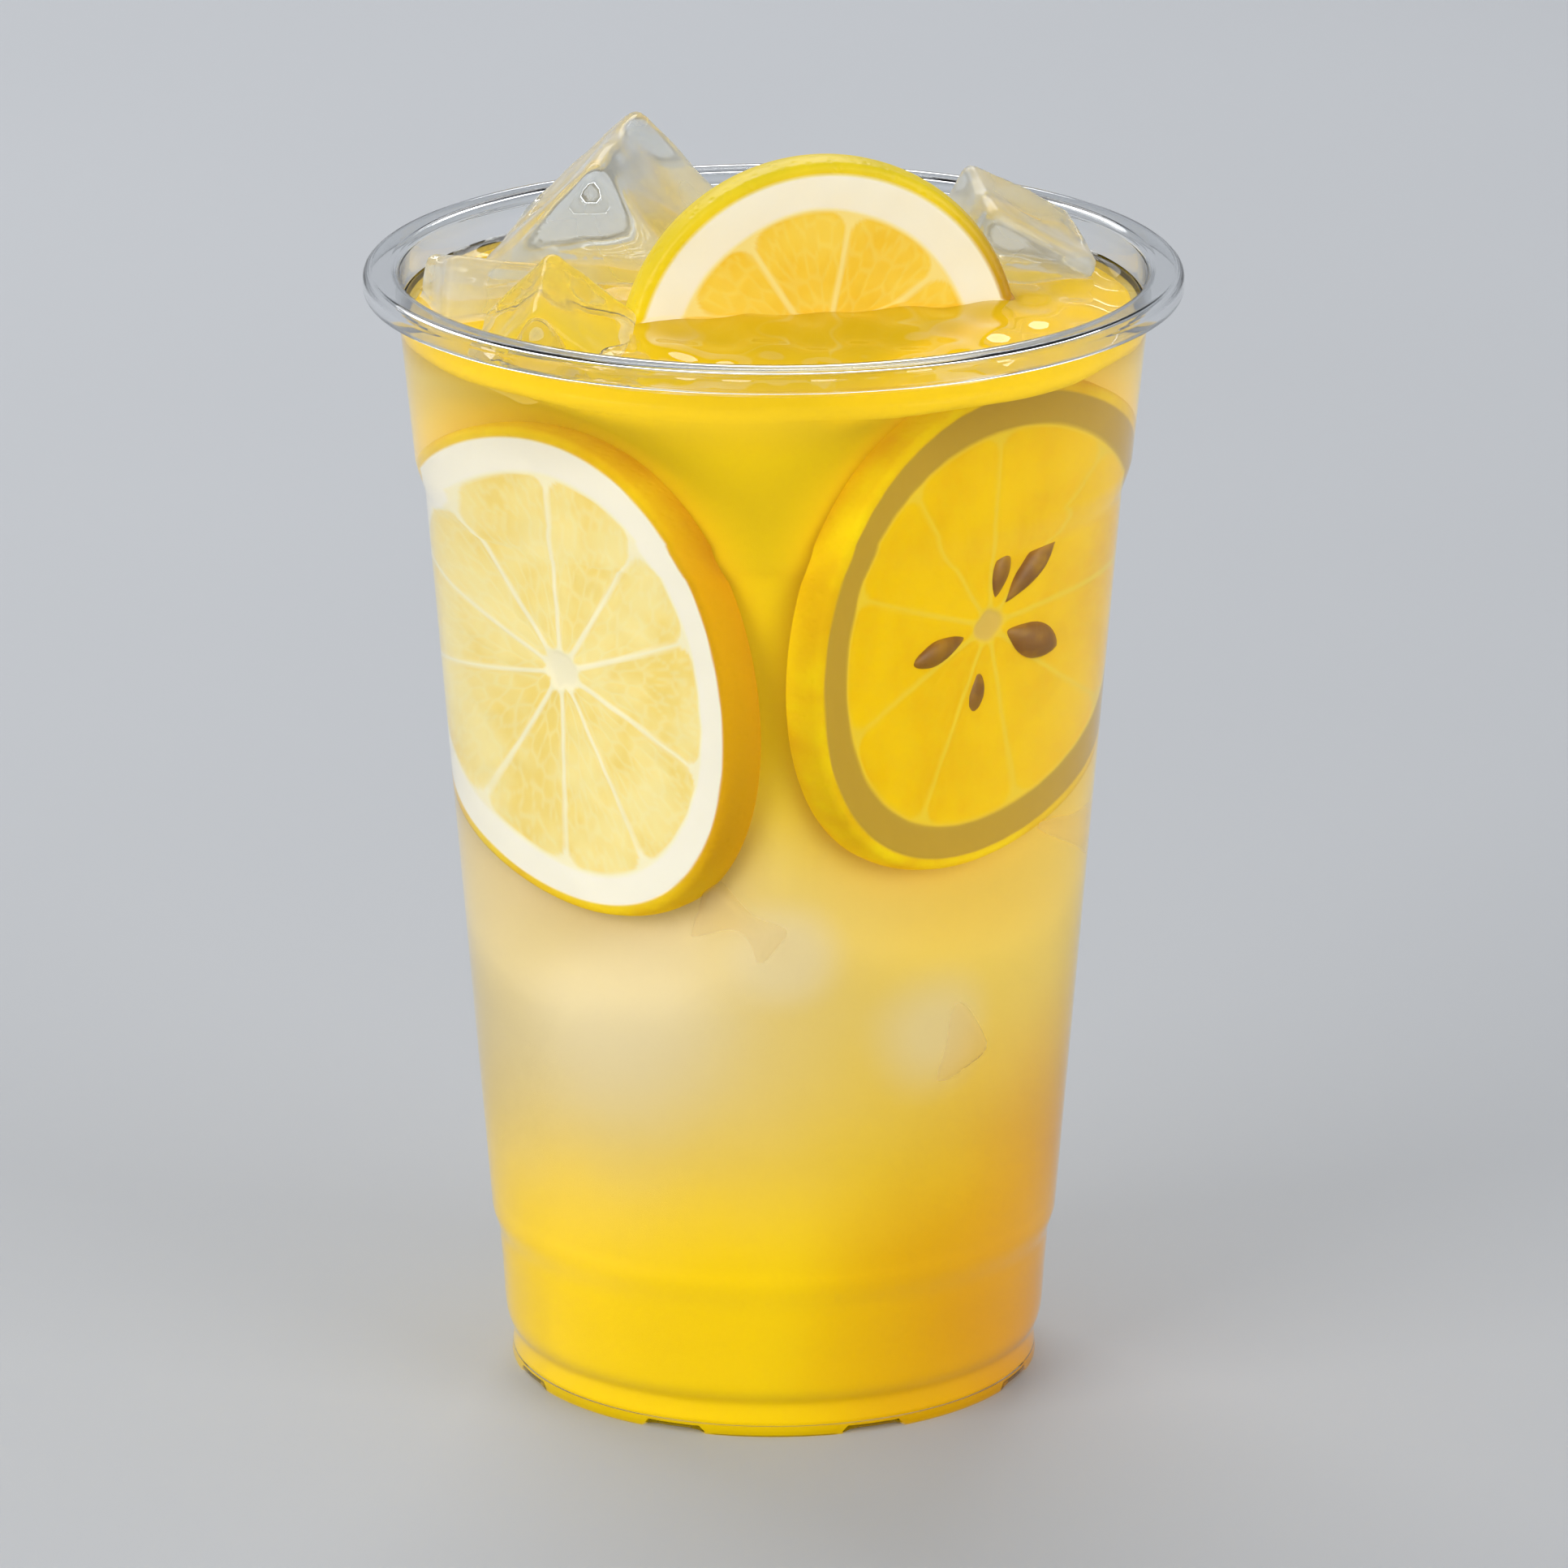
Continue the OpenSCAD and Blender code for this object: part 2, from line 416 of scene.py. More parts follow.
slices = {
    "lemonLeft": {
        "node": "lemon_slice_left",
        "gloss": 0.0,
        # glow: emission in the fruit's own colour, painted light that lifts its shade
        "glow": 0.12,
        "sacRelief": 0.06,
        "sacTone": 0.28,
        "seed": 11,
        "segments": 10,
        "turn": 0.35,
        "rindWidth": 1.4 * mm,
        "pithWidth": 4.2 * mm,
        "coreRadius": 2.3 * mm,
        "flesh": colour(255, 239, 166),
        "fleshDeep": colour(250, 224, 126),
        "sacLine": colour(255, 247, 200),
        "membrane": colour(255, 248, 214),
        "pith": colour(255, 252, 240),
        "rind": colour(250, 216, 20),
        "rindDeep": colour(238, 190, 8),
        "rindShadedRight": colour(224, 166, 4),
        "core": colour(250, 244, 214),
    },
    # the right slice's colours are a shaded copy of the fruit: its darker amber flesh, membranes, tan pith
    # and core are painted shade plus the drink's yellow tint over it
    "lemonRight": {
        "node": "lemon_slice_right",
        "gloss": 0.0,
        "glow": 0.24,
        "sacRelief": 0.06,
        "sacTone": 0.35,
        "seed": 23,
        "segments": 9,
        "turn": 0.1,
        "rindWidth": 1.4 * mm,
        "pithWidth": 4.4 * mm,
        "coreRadius": 2.0 * mm,
        "flesh": colour(250, 204, 0),
        "fleshDeep": colour(240, 190, 0),
        "sacLine": colour(244, 204, 24),
        "membrane": colour(240, 206, 50),
        "pith": colour(192, 156, 52),
        "rind": colour(250, 216, 6),
        "rindDeep": colour(228, 178, 4),
        "rindShadedRight": colour(236, 190, 4),
        "core": colour(222, 186, 84),
    },
    "lemonTop": {
        "node": "lemon_slice_top",
        "gloss": 0.4,
        "glow": 0.16,
        "sacRelief": 0.08,
        "sacTone": 0.22,
        "seed": 37,
        "segments": 9,
        "turn": 0.62,
        "rindWidth": 1.5 * mm,
        "pithWidth": 4.5 * mm,
        "coreRadius": 2.0 * mm,
        "flesh": colour(252, 216, 76),
        "fleshDeep": colour(246, 200, 44),
        "sacLine": colour(254, 234, 130),
        "membrane": colour(252, 230, 140),
        "pith": colour(252, 247, 226),
        "rind": colour(248, 218, 24),
        "rindDeep": colour(232, 206, 14),
        "rindShadedRight": colour(172, 116, 16),
        "core": colour(252, 244, 206),
    },
}
places = {name: discOf(look["node"]) for name, look in slices.items()}


cloud = {       # the cloudy middle of the drink, behind the slices and inside the clear liquid
    "turns": 240,
    "halfWidth": 36 * mm,
    "gap": 5.4 * mm,
    "gapAtLevel": 0.5 * mm,
    "gapBelow": 0.15 * mm,
    "topBelow": 1.3 * mm,
    "corner": 1.2 * mm,
    "pocketMargin": 0.5 * mm,
    "pocketBlend": 9 * mm,
    "behindSlice": 0.5 * mm,
    "smoothing": 14,
    # milkyRight and amber are the more golden tones on the right of the body: partly the drink's own richer
    # colour, partly painted shade on the side away from the key lamp
    "milky": colour(223, 204, 152),
    "milkyRight": colour(240, 208, 96),
    "golden": colour(248, 208, 6),
    "amber": colour(222, 154, 0),
    "upper": colour(248, 210, 12),
    # upperPale is painted light: a paler tone at the left and right sides of the upper body, standing in for
    # the brighter, clearer edges of the drink
    "upperPale": colour(244, 218, 120),
    "surface": colour(233, 195, 30),
    "pale": colour(234, 219, 180),
    "footBottom": 0.3 * mm,
    # the juice's emission is painted light: an even glow standing in for light scattered through the drink,
    # with more at the upper sides of the body and close to the table
    "glow": 0.16,
    "glowAtWall": 0.2,
    "glowAtFoot": 0.07,
    # pale ice under the surface: degrees from the front towards the right, height, reach, strength
    "palePatches": [(2, 62, 8, 0.6), (36, 50, 10, 0.55), (-36, 54, 20, 0.6), (120, 66, 14, 0.5),
                    (178, 88, 14, 0.5), (-128, 72, 15, 0.5), (150, 42, 12, 0.5)],
}


def cloudyJuice():
    material, wire, shader = newMaterial("cloudyJuice")
    place = placeOf(wire)
    tall = alongAxis(wire, place, "Z")
    drift = speckle(wire, place, 22, 2) - 0.5
    fine = speckle(wire, place, 70, 3) - 0.5
    side = alongAxis(wire, place, "X") / cloud["halfWidth"]
    height = tall / level + drift * 0.10 + fine * 0.03
    # towards the right the tone turns more golden and amber: partly the drink's own colour, partly painted
    # shade
    rightward = (side + drift * 0.5).step(-0.7, 0.55)
    settled = 1 - (height - side * 0.045).step(0.15, 0.39)
    raised = (height + side * 0.03).step(0.48, 0.67)
    milky = rightward.mix(cloud["milky"], cloud["milkyRight"])
    golden = (side * 0.8 + drift).step(0.0, 0.85).mix(cloud["golden"], cloud["amber"])
    # the left and right sides of the body, paler and glowing more: painted light
    wall = (side * side).step(0.35, 1.0)
    upper = wall.mix(cloud["upper"], cloud["upperPale"])
    body = raised.mix(milky, upper)
    tone = settled.mix(body, golden)
    for turn, up, width, strength in cloud["palePatches"]:
        angle = math.radians(turn)
        radius = wallRadius(up * mm) - cloud["gap"]
        centre = (radius * math.sin(angle), -radius * math.cos(angle), up * mm)
        away = wire.node("ShaderNodeVectorMath", {"operation": "DISTANCE"}, {0: place, 1: centre}, "Value")
        patch = (1 - (away + drift * 0.01).step(0.15 * width * mm, width * mm)) * strength
        tone = patch.mix(tone, cloud["pale"])
    surface = (tall / level).step(0.94, 0.985)
    tone = surface.mix(tone, cloud["surface"])
    near = 1 - tall.step(5 * mm, 13 * mm)       # close to the table the juice is plain
    # painted light: emission in the juice's own colour, stronger at the upper sides and close to the table
    glow = cloud["glow"] + cloud["glowAtWall"] * raised * wall * (1 - surface) + cloud["glowAtFoot"] * near
    looks = {
        "Base Color": tone,
        "Roughness": 0.7,
        "Specular IOR Level": 0.0,
        "Emission Color": glow.mix(black, tone),
        "Emission Strength": 1.0,
    }
    settle(wire, shader, looks)
    settle(wire, shader, {
        "Subsurface Weight": 1.0,
        "Subsurface Radius": (1.0, 1.0, 0.6),
        "Subsurface Scale": 6 * mm,
    })
    blended(wire, near, shader, looks)
    return material


def cloudOutline():  # with the first and the last row of its side wall
    outline = outwards(resample(drinkOutline(), 1.2 * mm), -cloud["gapBelow"])
    height = outline[:, 1]
    aboveFloor = softStep(5 * mm, 34 * mm, height)
    belowLevel = softStep(level - 8 * mm, level - 26 * mm, height)
    wall = outline[:, 0] > 0.95 * wallRadius(height)
    gap = cloud["gapAtLevel"] + (cloud["gap"] - cloud["gapAtLevel"]) * belowLevel
    outline[:, 0] -= wall * aboveFloor * gap
    outline[:, 1] = np.maximum(np.where(height < 1.8 * mm, 1.0 * mm, height), 1.0 * mm)
    corner = cloud["corner"]
    top = level - cloud["topBelow"]
    body = outline[outline[:, 1] < top - corner]
    first = int(np.argmax(wall & (height > 6 * mm)))
    edge = body[-1, 0]
    turned = np.linspace(0, math.pi / 2, 6)
    bend = np.stack([edge - corner * (1 - np.cos(turned)), top - corner + corner * np.sin(turned)], 1)
    across = bend[-1, 0] * np.linspace(1, 0, 45)[1:]
    flat = np.stack([across, np.full(len(across), top)], 1)
    return np.concatenate([body, bend, flat]), first, len(body)


def drawnIn(radii, heights, angles):  # the cloudy body's radii, drawn in behind the slices on the wall
    outward = np.stack([np.sin(angles), -np.cos(angles)], 1)[None, :, :]
    tall = heights[:, None]
    free = radii[:, None] * np.ones(len(angles))
    new = free.copy()
    limits = []
    for name in ("lemonLeft", "lemonRight"):
        matrix, sliceRadius, thickness = places[name]
        facing = -np.array(matrix.col[1][:3])
        rear = np.array(matrix.translation) - facing * (thickness + cloud["behindSlice"])
        toward = outward @ facing[:2]
        reach = (rear @ facing - tall * facing[2]) / np.maximum(toward, 0.12)
        heightOnPlane = np.broadcast_to(tall[:, :, None], reach.shape + (1,))
        onPlane = np.concatenate([outward * reach[:, :, None], heightOnPlane], 2)
        off = np.linalg.norm(onPlane - rear, axis=2)
        near = sliceRadius + cloud["pocketMargin"]
        inside = softStep(near + cloud["pocketBlend"], near, off) * (toward > 0.12)
        new = np.minimum(new, free + (reach - free) * inside)
        behind = (off < sliceRadius) & (toward > 0.12)
        limits.append(np.where(behind, reach + 2 * mm / np.maximum(toward, 0.12), free))
    for _ in range(cloud["smoothing"]):
        new = 0.5 * new + 0.25 * np.roll(new, 1, 1) + 0.25 * np.roll(new, -1, 1)
        new[1:-1] = 0.5 * new[1:-1] + 0.25 * new[:-2] + 0.25 * new[2:]
    return np.minimum.reduce([new, *limits])


def makeCloud():
    outline, first, last = cloudOutline()
    points, faces = spin(outline, cloud["turns"])
    foot = (points[:, 2] < 1.2 * mm) & (ventShare(points) < 0.02)
    points[foot, 2] = cloud["footBottom"]
    rowsAfter = len(outline) - 1 - first
    start = len(points) - 1 - rowsAfter * cloud["turns"]      # only the last row is one point
    angles = np.arange(cloud["turns"]) * 2 * math.pi / cloud["turns"]
    radii = drawnIn(outline[first:last, 0], outline[first:last, 1], angles)
    stop = start + radii.size
    flat = radii.ravel()
    turned = np.tile(angles, last - first)
    points[start:stop, 0] = flat * np.sin(turned)
    points[start:stop, 1] = -flat * np.cos(turned)
    points[:, 2] += 0.25 * mm * ripple(points, 14 * mm, 8) * (points[:, 2] > level - 8 * mm)
    return addMesh("lemonadeCloud", points, faces, cloudyJuice())


makeCloud()
print("cloudy middle made")


def lemonSkin(name, look):
    material, wire, shader = newMaterial(name + "Fruit")
    place = placeOf(wire)
    fine = speckle(wire, place, 420, 3)
    broad = speckle(wire, place, 90, 3)
    flesh = broad.step(0.35, 0.7).mix(look["flesh"], look["fleshDeep"])
    flesh = (field(wire, "sacLine") * look["sacTone"]).mix(flesh, look["sacLine"])
    pulp = field(wire, "flesh").mix(look["membrane"], flesh)
    inner = field(wire, "pith").mix(pulp, look["pith"])
    inner = field(wire, "core").mix(inner, look["core"])
    rind = broad.step(0.3, 0.75).mix(look["rind"], look["rindDeep"])
    # painted shade: towards the slice's right the rind takes its darker, more orange right-hand colour,
    # standing in for the shade on the side turned away from the key lamp
    rightward = alongAxis(wire, place, "X").step(12 * mm, 27 * mm)
    rind = rightward.mix(rind, look["rindShadedRight"])
    skin = field(wire, "rind")
    pores = wire.node("ShaderNodeTexVoronoi", {}, {"Vector": place, "Scale": 900}, "Distance")
    relief = skin * pores.step(0.0, 0.55) + (1 - skin) * fine * 0.25
    tone = skin.mix(inner, rind)
    settle(wire, shader, {
        "Base Color": tone,
        "Roughness": 0.32 + 0.2 * fine,
        "Specular IOR Level": look["gloss"],
        # painted light: the fruit glows a little in its own colour, standing in for light scattered through
        # the drink
        "Emission Color": tone,
        "Emission Strength": look["glow"],
        "Subsurface Weight": 0.4,
        "Subsurface Radius": (1.0, 0.95, 0.5),
        "Subsurface Scale": 2.5 * mm,
        "Normal": bumped(wire, relief, 0.12 * mm, 0.6),
    })
    return material


def sliceGrid(radius, thickness, turns):  # closed outline of a slice, from its face's middle to its rear's
    edge = min(0.9 * mm, thickness / 3)
    flat = np.linspace(0, radius - edge, 88)
    turned = np.linspace(0, math.pi / 2, 6)[1:]
    front = np.stack([flat, np.zeros(len(flat))], 1)
    roundFront = np.stack([radius - edge + edge * np.sin(turned), edge - edge * np.cos(turned)], 1)
    side = np.stack([np.full(7, radius), np.linspace(edge, thickness - edge, 9)[1:-1]], 1)
    side[:, 0] += 0.25 * mm * np.sin(np.linspace(0, math.pi, 9)[1:-1])
    roundRear = roundFront[::-1] * [1, -1] + [0, thickness]
    rear = front[::-1][::2] + [0, thickness]
    rows = np.concatenate([front, roundFront, side, roundRear, rear])
    return rows, np.arange(turns) * 2 * math.pi / turns


def sacs(distance, turn, look):  # juice sacs as long cells that point at the middle
    random = np.random.default_rng(look["seed"] + 100)
    seeds = []
    ring = 3.4 * mm
    while ring < distance.max():
        count = max(6, int(2 * math.pi * ring / (1.75 * mm)))
        for k in range(count):
            away = ring + random.uniform(-1.4, 1.4) * mm
            seeds.append((away, (k + random.uniform(-0.4, 0.4)) * 2 * math.pi / count))
        ring += 3.1 * mm
    seeds = np.array(seeds)
    gap = np.full(len(distance), 9.0)
    for start in range(0, len(distance), 4000):
        part = slice(start, start + 4000)
        along = (distance[part, None] - seeds[None, :, 0]) / (2.5 * mm)
        across = distance[part, None] * np.sin(turn[part, None] - seeds[None, :, 1]) / (1.0 * mm)
        facing = np.cos(turn[part, None] - seeds[None, :, 1]) < 0
        away = np.hypot(along, across) + facing * 50
        nearest = np.partition(away, 1, axis=1)[:, :2]
        gap[part] = nearest[:, 1] - nearest[:, 0]
    return gap


def makeSlice(name, look):
    matrix, radius, thickness = places[name]
    random = np.random.default_rng(look["seed"])
    rows, angles = sliceGrid(radius, thickness, 288)
    count = len(angles)
    distance = np.repeat(rows[:, 0], count)
    depth = np.repeat(rows[:, 1], count)
    turn = np.tile(angles, len(rows))
    widths = random.uniform(0.82, 1.18, look["segments"])
    borders = look["turn"] + np.concatenate([[0], np.cumsum(widths)[:-1]]) / widths.sum() * 2 * math.pi
    offset = (turn[:, None] - borders[None, :] + math.pi) % (2 * math.pi) - math.pi
    nearest = np.abs(offset).min(1)
    circle = np.stack([np.cos(turn), np.sin(turn), np.zeros(len(turn))], 1)
    waver = ripple(circle, 1.1, look["seed"] + 3)
    flatFace = distance < radius - 0.9 * mm
    membraneOff = distance * np.sin(np.minimum(nearest, 1.5)) - (0.12 + 0.08 * waver) * mm
    pithEdge = radius - look["rindWidth"] - look["pithWidth"] * (1 + 0.08 * waver)
    outerOff = pithEdge - distance
    coreOff = distance - look["coreRadius"] * (1 + 0.15 * waver)
    soft = 2.6 * mm
    inside = soft - np.hypot(np.maximum(soft - membraneOff, 0), np.maximum(soft - outerOff, 0))
    tight = 1.2 * mm
    inside = tight - np.hypot(np.maximum(tight - inside, 0), np.maximum(tight - coreOff, 0))
    flesh = softStep(0.0, 0.4 * mm, inside)
    pith = softStep(-0.1 * mm, 0.5 * mm, -outerOff)
    rind = np.maximum(softStep(-0.15 * mm, 0.2 * mm, distance - (radius - look["rindWidth"])), ~flatFace)
    core = softStep(0.4 * mm, -0.3 * mm, coreOff)
    gap = sacs(distance, turn, look)
    line = (1 - softStep(0.05, 0.4, gap)) * flesh
    swell = np.sqrt(np.clip(gap, 0, 1.2) / 1.2) * flesh
    relief = look["sacRelief"] * swell + 0.08 * (1 - flesh) * (1 - rind) - 0.25 * core
    points = np.stack([distance * np.cos(turn), depth, distance * np.sin(turn)], 1)
    relief += 0.10 * ripple(points, 5 * mm, look["seed"] + 5) * (1 - rind)
    outward = np.where(depth < thickness / 2, -1, 1)
    points[:, 1] += flatFace * outward * relief * mm
    wobble = 1 + 0.008 * ripple(circle, 1.6, look["seed"] + 9)
    points[:, 0] *= np.minimum(wobble, 1)
    points[:, 2] *= np.minimum(wobble, 1)
    faces = []
    for row in range(len(rows) - 1):
        for i in range(count):
            j = (i + 1) % count
            low = row * count
            high = low + count
            faces.append((low + i, low + j, high + j, high + i))
    fields = {"flesh": flesh, "pith": pith * (1 - flesh), "rind": rind, "core": core, "sacLine": line}
    piece = addMesh(name, points, faces, lemonSkin(name, look), fields, matrix)
    mesh = bmesh.new()
    mesh.from_mesh(piece.data)
    bmesh.ops.remove_doubles(mesh, verts=mesh.verts, dist=1e-6)
    bmesh.ops.recalc_face_normals(mesh, faces=mesh.faces)
    mesh.to_mesh(piece.data)
    mesh.free()
    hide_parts(look["node"])
    return piece


for name, look in slices.items():
    makeSlice(name, look)
print("slices made")


seeds = {       # in the right slice
    "colour": colour(150, 98, 0),
    "edge": colour(200, 146, 8),
    # turn from the slice's right, distance of the middle, length, width, depth of the middle
    "laid": [(44, 8.2, 10.0, 4.4, 0.0), (78, 6.2, 7.4, 3.6, 0.3), (192, 8.0, 9.2, 4.2, 0.2),
             (334, 7.8, 9.4, 5.6, 0.0), (264, 8.2, 9.5, 4.6, 0.9)],
}


def seedSkin():
    material, wire, shader = newMaterial("lemonSeedSkin")
    tone = speckle(wire, placeOf(wire), 300, 3)
    settle(wire, shader, {
        "Base Color": tone.step(0.35, 0.75).mix(seeds["colour"], seeds["edge"]),
        "Roughness": 0.35 + 0.2 * tone,
        "Subsurface Weight": 0.2,
        "Subsurface Radius": (1.0, 0.6, 0.2),
        "Subsurface Scale": 1 * mm,
    })
    return material


def makeSeeds():
    matrix = places["lemonRight"][0]
    points = []
    faces = []
    for angle, away, length, width, depth in seeds["laid"]:
        shape, sides = spin([(math.sin(math.pi * t) ** 0.8 * (1 - 0.45 * t), t - 0.5)
                             for t in np.linspace(0, 1, 15)], 20)
        shape = shape * [0.5 * width, 0.33 * width, length]
        turn = math.radians(angle)
        along = np.array([math.cos(turn), 0, math.sin(turn)])
        across = np.array([-math.sin(turn), 0, math.cos(turn)])
        laid = (shape[:, :1] * across + shape[:, 1:2] * [0, 1, 0] - shape[:, 2:] * along
                + along * away + [0, depth, 0])
        faces.extend(tuple(len(points) + k for k in f) for f in sides)
        points.extend(laid * mm)
    return addMesh("lemonSeeds", points, faces, seedSkin(), None, matrix)


makeSeeds()
print("seeds made")


iceLook = {
    "ior": 1.31,
    "tint": (0.92, 0.965, 1.0, 1),
    "frost": colour(232, 238, 243),
    "sunk": colour(248, 208, 36),
    # sunkGlow: emission on the ice under the level, painted light that matches the glow of the cloudy juice
    "sunkGlow": colour(156, 134, 50),
    "sunkShare": 0.88,
    "steps": 22,
    "hollow": 0.985,
}
iceBlocks = {       # frost: how white; sunk: how much of the part under the level has not melted
    "iceBack": {"node": "ice_cube_back", "sunk": 1.0, "frost": 1.0, "seed": 1, "soft": 0.17},
    "iceRight": {"node": "ice_cube_right", "sunk": 1.0, "frost": 0.9, "seed": 2, "soft": 0.2},
    "iceLeft": {"node": "ice_cube_left", "sunk": 0.35, "frost": 0.75, "seed": 3, "soft": 0.22},
    "iceFront": {"node": "ice_cube_front", "sunk": 0.5, "frost": 0.12, "seed": 5, "soft": 0.24},
}


def clearIce():
    material, wire, shader = newMaterial("clearIce")
    place = placeOf(wire)
    haze = speckle(wire, place, 75, 2)
    dents = speckle(wire, place, 90, 2)
    settle(wire, shader, {
        "Base Color": iceLook["tint"],
        "Transmission Weight": 1.0,
        "IOR": iceLook["ior"],
        "Roughness": 0.02 + 0.22 * haze.step(0.45, 0.8),
        "Normal": bumped(wire, dents, 0.5 * mm, 0.4),
    })
    above = (field(wire, "height") / level).step(0.975, 1.005)
    share = above * field(wire, "frost") * (0.26 + 0.45 * haze.step(0.4, 0.75))
    share = share + (1 - above) * iceLook["sunkShare"]
    blended(wire, share, shader, {
        "Base Color": above.mix(iceLook["sunk"], iceLook["frost"]),
        # painted light: the part under the level glows a little, like the juice around it
        "Emission Color": above.mix(iceLook["sunkGlow"], black),
        "Emission Strength": 1.0,
        "Roughness": 0.6,
    })
    return material


def roundedBlock(size, soft, steps, seed):  # an uneven cube with round edges
    box = bmesh.new()
    bmesh.ops.create_cube(box, size=2)
    bmesh.ops.subdivide_edges(box, edges=box.edges[:], cuts=steps, use_grid_fill=True)
    points = np.array([v.co for v in box.verts])
    faces = [tuple(v.index for v in f.verts) for f in box.faces]
    box.free()
    inner = np.clip(points, -(1 - soft), 1 - soft)
    away = points - inner
    points = inner + soft * away / (np.linalg.norm(away, axis=1)[:, None] + 1e-9)
    middle = 1 - np.minimum(1, np.sort(np.abs(points), axis=1)[:, 1])     # 1 in the middle of a face
    dent = 1 - 0.05 * middle + 0.018 * ripple(points, 1.4, seed) + 0.008 * ripple(points, 0.6, seed + 50)
    return points * dent[:, None] * np.array(size) / 2, faces


def makeIce():
    material = clearIce()
    blocks = []
    for name, look in iceBlocks.items():
        matrix, size = blockOf(look["node"])
        points, faces = roundedBlock(size, look["soft"], iceLook["steps"], look["seed"])
        turned = np.array(matrix.to_3x3())
        below = np.minimum(points @ turned[2] + matrix.translation.z - level, 0)
        points = points - np.outer(below * (1 - look["sunk"]), turned[2])
        heights = points @ turned[2] + matrix.translation.z
        fields = {"height": heights, "frost": np.full(len(points), look["frost"])}
        piece = addMesh(name, points, faces, material, fields, matrix)
        piece.visible_shadow = False
        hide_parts(look["node"])
        blocks.append(piece)
    return blocks


def makeHollows(liquid, blocks):  # the clear liquid ends just inside the ice that floats in it
    for block in blocks:
        cutter = bpy.data.objects.new("cutter", block.data.copy())
        cutter.matrix_world = block.matrix_world @ Matrix.Scale(iceLook["hollow"], 4)
        bpy.context.scene.collection.objects.link(cutter)
        cut = liquid.modifiers.new("hollow", "BOOLEAN")
        cut.operation = "DIFFERENCE"
        cut.solver = "EXACT"
        cut.object = cutter
        bpy.context.view_layer.update()
        shape = bpy.data.meshes.new_from_object(liquid.evaluated_get(bpy.context.evaluated_depsgraph_get()))
        liquid.modifiers.clear()
        liquid.data = shape
        bpy.data.objects.remove(cutter)
    liquid.data.polygons.foreach_set("use_smooth", [True] * len(liquid.data.polygons))


makeHollows(clearDrink, makeIce())


sunkIce = {
    "ior": 1.012,
    "tint": colour(255, 246, 226),
    # degrees from the front towards the right, height, edge, how far it stands out of the cloud, tilts
    "laid": [(-2, 63, 12, 0.9, (24, 12, 40)), (38, 49, 14, 1.3, (10, -28, 20)),
             (116, 66, 17, 1.5, (20, 30, 10)), (178, 88, 18, 1.5, (35, 12, 30)),
             (-128, 72, 16, 1.5, (12, 42, 22)), (150, 42, 15, 1.2, (40, 8, 14)),
             (-160, 104, 17, 1.5, (26, 18, 36))],
}


def sunkIceSkin():
    material, wire, shader = newMaterial("sunkIceSkin")
    haze = speckle(wire, placeOf(wire), 90, 3)
    settle(wire, shader, {
        "Base Color": sunkIce["tint"],
        "Transmission Weight": 0.92,
        "Specular IOR Level": 0.0,
        "IOR": sunkIce["ior"],
        "Roughness": 0.3 + 0.3 * haze,
    })
    return material


def makeSunkIce():
    material = sunkIceSkin()
    for number, (turn, height, edge, proud, tilts) in enumerate(sunkIce["laid"], 1):
        size = np.full(3, edge * mm)
        points, faces = roundedBlock(size, 0.26, 12, 60 + number)
        turned = Matrix.Identity(3)
        for tilt, axis in zip(tilts, "XYZ"):
            turned = turned @ Matrix.Rotation(math.radians(tilt), 3, axis)
        points = points @ np.array(turned).T
        outward = np.array([math.sin(math.radians(turn)), -math.cos(math.radians(turn)), 0])
        away = wallRadius(height * mm) - cloud["gap"] + proud * mm - (points @ outward).max()
        points = points + outward * away + [0, 0, height * mm]
        piece = addMesh("iceSunk%d" % number, points, faces, material)
        piece.visible_shadow = False


makeSunkIce()
print("ice made")


stage = {
    "floor": colour(214, 216, 219),
    "sky": (0.80, 0.84, 0.90, 1),
    "skyStrength": 0.47,
    "shade": colour(206, 208, 211),
    "lampAim": (0, 0, 0.07),
    # place, width, height, power in watts, tone
    "lamps": {
        "keyLamp": ((-0.95, -0.75, 0.6), 0.8, 0.8, 6.4, (1.0, 0.98, 0.95)),
        "fillLamp": ((0.95, -0.65, 0.45), 0.7, 0.8, 4.2, (1.0, 0.98, 0.95)),
        "backLamp": ((-0.2, 0.86, 0.79), 0.9, 0.4, 4, (1.0, 1.0, 1.0)),
    },
    "bounces": {"max_bounces": 9, "diffuse_bounces": 2, "glossy_bounces": 3, "transmission_bounces": 9},
    "cameraElevation": 17.36,
    "cameraDistance": 1.451,
    "cameraTarget": (0.001256, 0, 0.07266),
    "lens": 274.5,
}


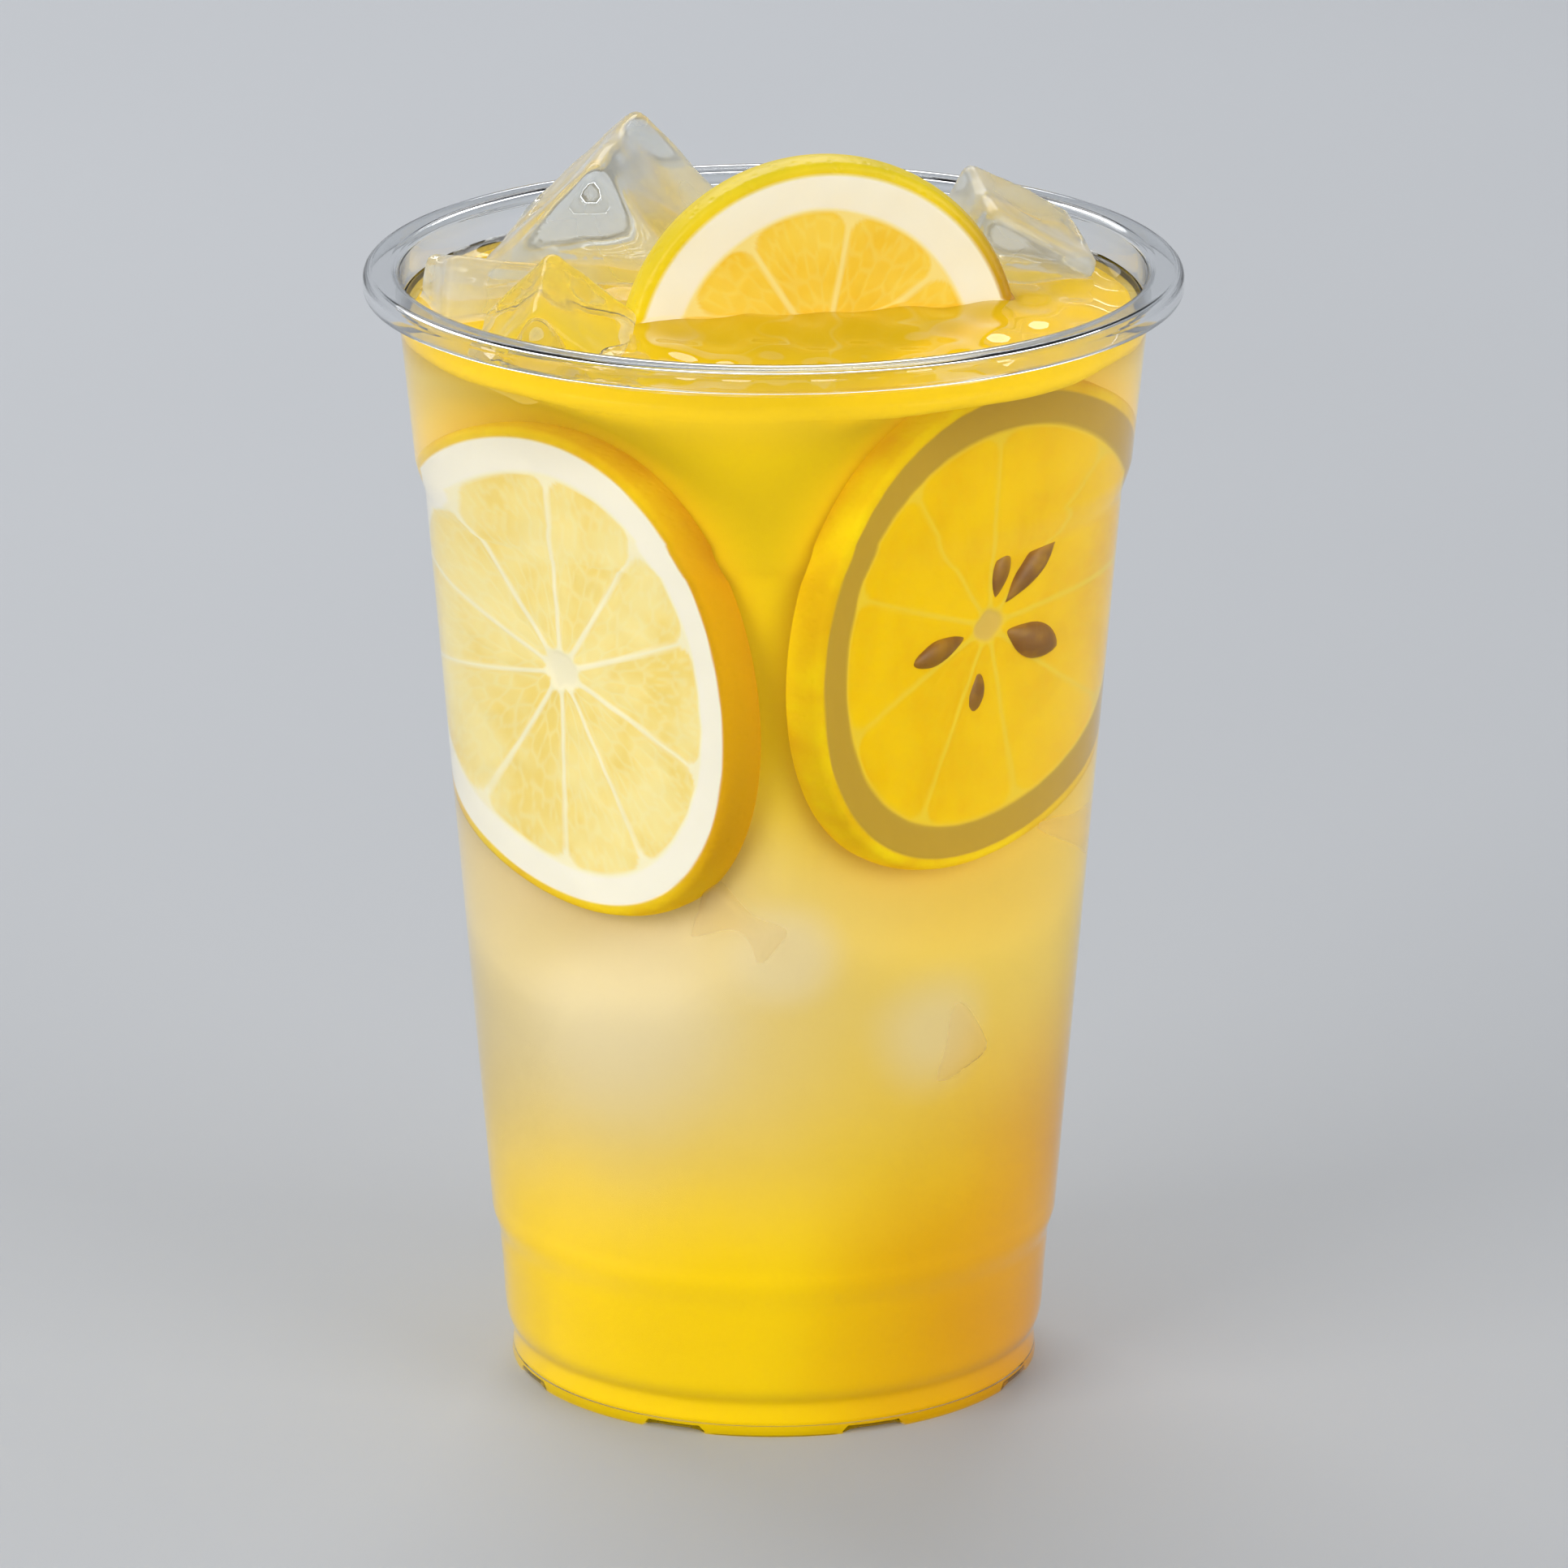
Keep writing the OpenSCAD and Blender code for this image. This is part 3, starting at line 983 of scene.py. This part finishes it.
def makeStage():
    material, wire, shader = newMaterial("paleFloor")
    tone = speckle(wire, placeOf(wire), 3, 2)
    settle(wire, shader, {
        "Base Color": tone.mix(stage["floor"], stage["shade"]),
        "Roughness": 0.65,
    })
    depth = [(-1.9, 0.0), (0.9, 0.0)]
    bends = np.linspace(0.15, math.pi / 2, 12)
    depth += [(0.9 + 0.5 * math.sin(a), 0.5 - 0.5 * math.cos(a)) for a in bends]
    depth += [(1.4, 2.2)]
    points = [(x, y, z) for y, z in depth for x in (-2.2, 2.2)]
    faces = [(2 * i, 2 * i + 1, 2 * i + 3, 2 * i + 2) for i in range(len(depth) - 1)]
    mesh = bpy.data.meshes.new("backdrop")
    mesh.from_pydata(points, [], faces)
    mesh.materials.append(material)
    floor = bpy.data.objects.new("backdrop", mesh)
    bpy.context.scene.collection.objects.link(floor)


def addLamp(name, place, width, height, power, tone):
    light = bpy.data.lights.new(name, "AREA")
    light.shape = "RECTANGLE"
    light.size = width
    light.size_y = height
    light.energy = power
    light.color = tone
    lamp = bpy.data.objects.new(name, light)
    lamp.location = place
    lamp.rotation_euler = (Vector(stage["lampAim"]) - Vector(place)).to_track_quat("-Z", "Y").to_euler()
    bpy.context.scene.collection.objects.link(lamp)


def makeLight():
    scene = bpy.context.scene
    scene.view_settings.view_transform = "Standard"
    for name, count in stage["bounces"].items():
        setattr(scene.cycles, name, count)
    scene.world = bpy.data.worlds.new("studio")
    scene.world.use_nodes = True
    sky = next(n for n in scene.world.node_tree.nodes if n.type == "BACKGROUND")
    sky.inputs["Color"].default_value = stage["sky"]
    sky.inputs["Strength"].default_value = stage["skyStrength"]
    for name, lamp in stage["lamps"].items():
        addLamp(name, *lamp)


def makeCamera():
    elevation = math.radians(stage["cameraElevation"])
    target = Vector(stage["cameraTarget"])
    camera = bpy.data.objects.new("camera", bpy.data.cameras.new("camera"))
    camera.data.lens = stage["lens"]
    camera.data.sensor_width = 36
    camera.data.clip_end = 20
    away = Vector((0, -math.cos(elevation), math.sin(elevation)))
    camera.location = target + stage["cameraDistance"] * away
    camera.rotation_euler = (target - camera.location).to_track_quat("-Z", "Y").to_euler()
    bpy.context.scene.collection.objects.link(camera)
    bpy.context.scene.camera = camera


makeStage()
makeLight()
makeCamera()
print("stage, light and camera made")
